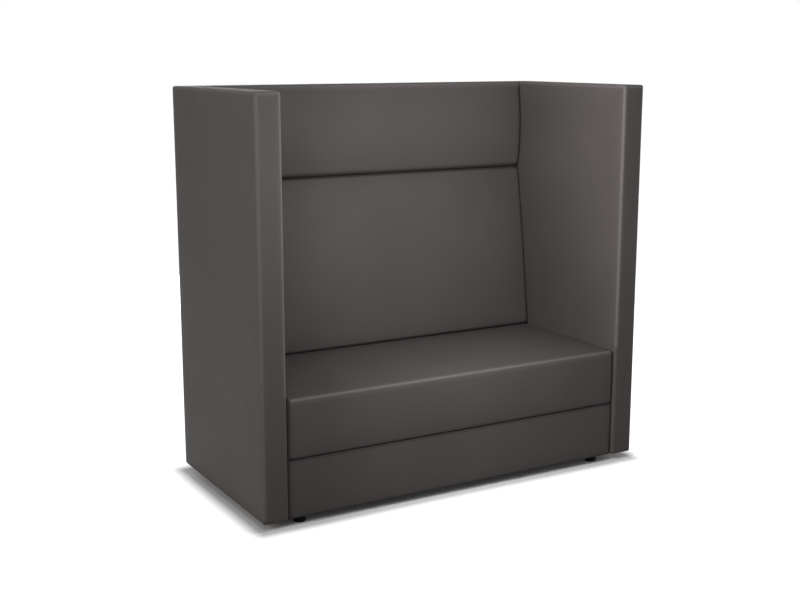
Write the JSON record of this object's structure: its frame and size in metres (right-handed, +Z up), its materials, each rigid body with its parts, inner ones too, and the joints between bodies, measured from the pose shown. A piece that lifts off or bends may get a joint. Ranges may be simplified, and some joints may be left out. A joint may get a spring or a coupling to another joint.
{
  "type": "acoustic high back settee",
  "caption": "High back booth settee with tall padded side panels, crowned head pad, leaning back cushion, block seat and upholstered plinth on levelling feet.",
  "frame": {"origin": "on the floor, under the middle of the footprint", "axes": "+Z up, -Y to the front where the sitter faces, +X towards the settee's end that is on the right in a front view"},
  "size_m": [1.46, 0.69, 1.35],
  "materials": {
    "cover_leather": "dark warm grey smooth leather, satin",
    "foam": "pale cut polyurethane foam",
    "sound_absorber": "grey recycled fibre felt slab",
    "frame_timber": "planed softwood, bare",
    "plywood": "birch plywood, bare",
    "fibreboard": "thin brown fibreboard",
    "elastic_webbing": "black woven elastic webbing",
    "black_lining": "black non-woven cloth",
    "black_nylon": "black moulded nylon",
    "zinc_steel": "zinc plated steel"
  },
  "bodies": {
    "settee": {"back_front_board": "plywood", "back_infill": "sound_absorber", "back_rails": "frame_timber", "back_rear_board": "fibreboard", "back_rear_cover": "cover_leather", "back_rear_foam": "foam", "back_side_bolts": "zinc_steel", "back_stiles": "frame_timber", "back_uprights": "frame_timber", "foot_blocks": "frame_timber", "foot_tee_nuts": "zinc_steel", "head_cover": "cover_leather", "head_foam": "foam", "left_side_cover": "cover_leather", "left_side_foam": "foam", "left_side_infill": "sound_absorber", "left_side_inner_board": "fibreboard", "left_side_inserts": "zinc_steel", "left_side_outer_board": "fibreboard", "left_side_rails": "frame_timber", "left_side_stiles": "frame_timber", "lumbar_battens": "frame_timber", "lumbar_board": "plywood", "lumbar_cover": "cover_leather", "lumbar_foam": "foam", "plinth_cover": "cover_leather", "plinth_cross_rails": "frame_timber", "plinth_foam": "foam", "plinth_lining": "black_lining", "plinth_rails": "frame_timber", "plinth_side_bolts": "zinc_steel", "recline_ribs": "plywood", "right_side_cover": "cover_leather", "right_side_foam": "foam", "right_side_infill": "sound_absorber", "right_side_inner_board": "fibreboard", "right_side_inserts": "zinc_steel", "right_side_outer_board": "fibreboard", "right_side_rails": "frame_timber", "right_side_stiles": "frame_timber", "seat_corner_blocks": "frame_timber", "seat_cover": "cover_leather", "seat_cross_rails": "frame_timber", "seat_dowels": "frame_timber", "seat_edge_foam": "foam", "seat_foam": "foam", "seat_rails": "frame_timber", "seat_side_bolts": "zinc_steel", "seat_webbing_end_to_end": "elastic_webbing", "seat_webbing_front_to_rear": "elastic_webbing"},
    "front_left_pad": {"front_left_foot_pad": "black_nylon"},
    "front_left_stud": {"front_left_foot_stud": "zinc_steel"},
    "front_right_pad": {"front_right_foot_pad": "black_nylon"},
    "front_right_stud": {"front_right_foot_stud": "zinc_steel"},
    "rear_left_pad": {"rear_left_foot_pad": "black_nylon"},
    "rear_left_stud": {"rear_left_foot_stud": "zinc_steel"},
    "rear_right_pad": {"rear_right_foot_pad": "black_nylon"},
    "rear_right_stud": {"rear_right_foot_stud": "zinc_steel"}
  },
  "joints": [
    {"name": "front_left_pad_travel", "type": "slide", "parent": "settee", "child": "front_left_pad", "axis": [0, 0, -1], "range_m": [0, 0.01]},
    {"name": "front_left_stud_turn", "type": "hinge", "parent": "front_left_pad", "child": "front_left_stud", "pos_m": [-0.586, -0.295, 0], "axis": [0, 0, -1], "range_deg": [0, 2880]},
    {"name": "front_right_pad_travel", "type": "slide", "parent": "settee", "child": "front_right_pad", "axis": [0, 0, -1], "range_m": [0, 0.01]},
    {"name": "front_right_stud_turn", "type": "hinge", "parent": "front_right_pad", "child": "front_right_stud", "pos_m": [0.586, -0.295, 0], "axis": [0, 0, -1], "range_deg": [0, 2880]},
    {"name": "rear_left_pad_travel", "type": "slide", "parent": "settee", "child": "rear_left_pad", "axis": [0, 0, -1], "range_m": [0, 0.01]},
    {"name": "rear_left_stud_turn", "type": "hinge", "parent": "rear_left_pad", "child": "rear_left_stud", "pos_m": [-0.586, 0.2525, 0], "axis": [0, 0, -1], "range_deg": [0, 2880]},
    {"name": "rear_right_pad_travel", "type": "slide", "parent": "settee", "child": "rear_right_pad", "axis": [0, 0, -1], "range_m": [0, 0.01]},
    {"name": "rear_right_stud_turn", "type": "hinge", "parent": "rear_right_pad", "child": "rear_right_stud", "pos_m": [0.586, 0.2525, 0], "axis": [0, 0, -1], "range_deg": [0, 2880]}
  ],
  "couplings": [
    {"joint": "front_left_pad_travel", "follows": "front_left_stud_turn", "m_per_rad": 0.00019894},
    {"joint": "front_right_pad_travel", "follows": "front_right_stud_turn", "m_per_rad": 0.00019894},
    {"joint": "rear_left_pad_travel", "follows": "rear_left_stud_turn", "m_per_rad": 0.00019894},
    {"joint": "rear_right_pad_travel", "follows": "rear_right_stud_turn", "m_per_rad": 0.00019894}
  ]
}
